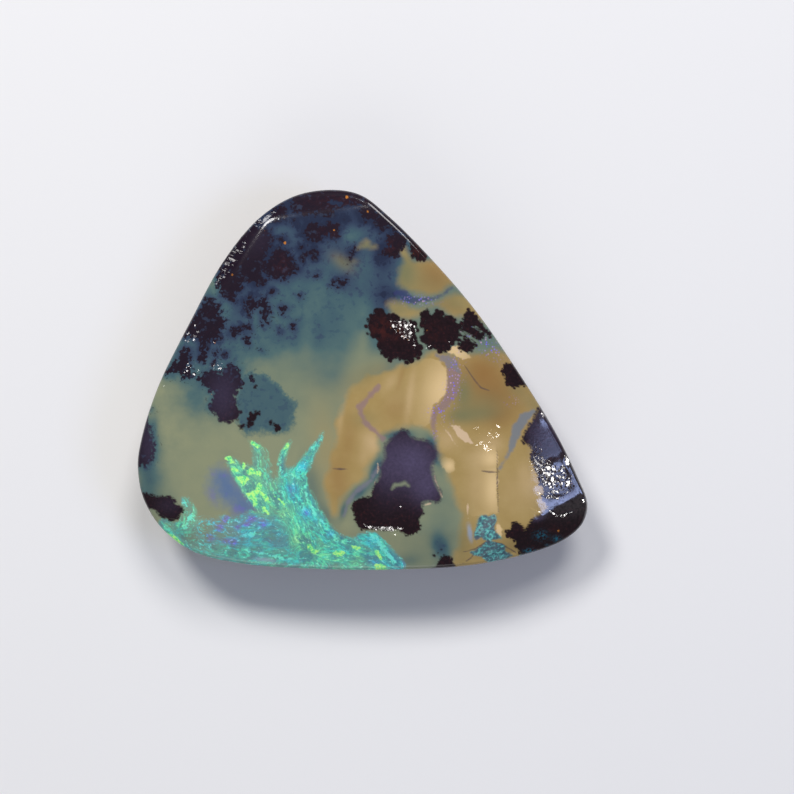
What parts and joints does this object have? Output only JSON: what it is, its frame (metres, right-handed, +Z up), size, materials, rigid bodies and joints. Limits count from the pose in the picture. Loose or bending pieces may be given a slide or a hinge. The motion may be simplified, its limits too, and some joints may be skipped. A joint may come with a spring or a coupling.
{
  "type": "boulder opal",
  "caption": "Boulder opal rubbed to a rounded triangle: a low polished dome with ground bevels, an undercut ironstone wall and a flat back.",
  "frame": {"origin": "on the flat back, under the middle of the outline", "axes": "+X along the straight lower side, towards the sharper corner; +Y towards the rounded top corner; +Z up out of the polished face"},
  "size_m": [0.0226, 0.019, 0.0046],
  "materials": {
    "polished_opal": "polished"
  },
  "bodies": {
    "root": {"boulder_opal": "polished_opal"}
  },
  "joints": []
}
